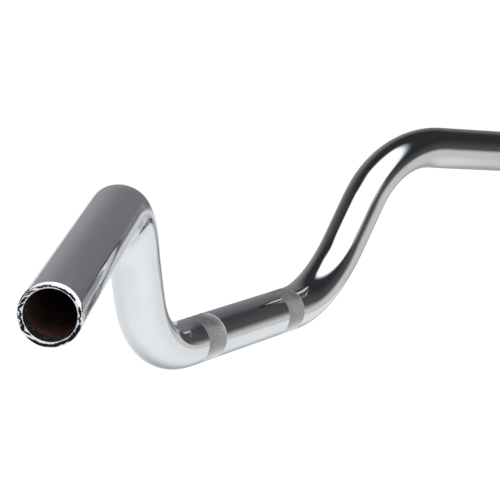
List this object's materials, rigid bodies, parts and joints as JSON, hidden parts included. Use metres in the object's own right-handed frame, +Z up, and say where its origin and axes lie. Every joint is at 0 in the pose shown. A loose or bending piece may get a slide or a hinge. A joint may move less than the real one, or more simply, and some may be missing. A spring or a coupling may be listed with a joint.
{
  "type": "bicycle handlebar",
  "caption": "Chrome-plated steel riser handlebar bent from one round tube, with swept-back grip ends, open tube ends and knurled bands on the clamp section.",
  "frame": {"origin": "on the tube's axis in the middle of the clamp section", "axes": "+X along the clamp section, towards the rider's right; +Y forward, away from the rider; +Z up, along the plane of the risers, with the grips level"},
  "size_m": [0.6404, 0.098, 0.1023],
  "materials": {
    "chrome_plate": "bright decorative chrome plating on steel, matt in the knurl, rough on the sawn ends"
  },
  "bodies": {
    "root": {"handlebar": "chrome_plate"}
  },
  "joints": []
}
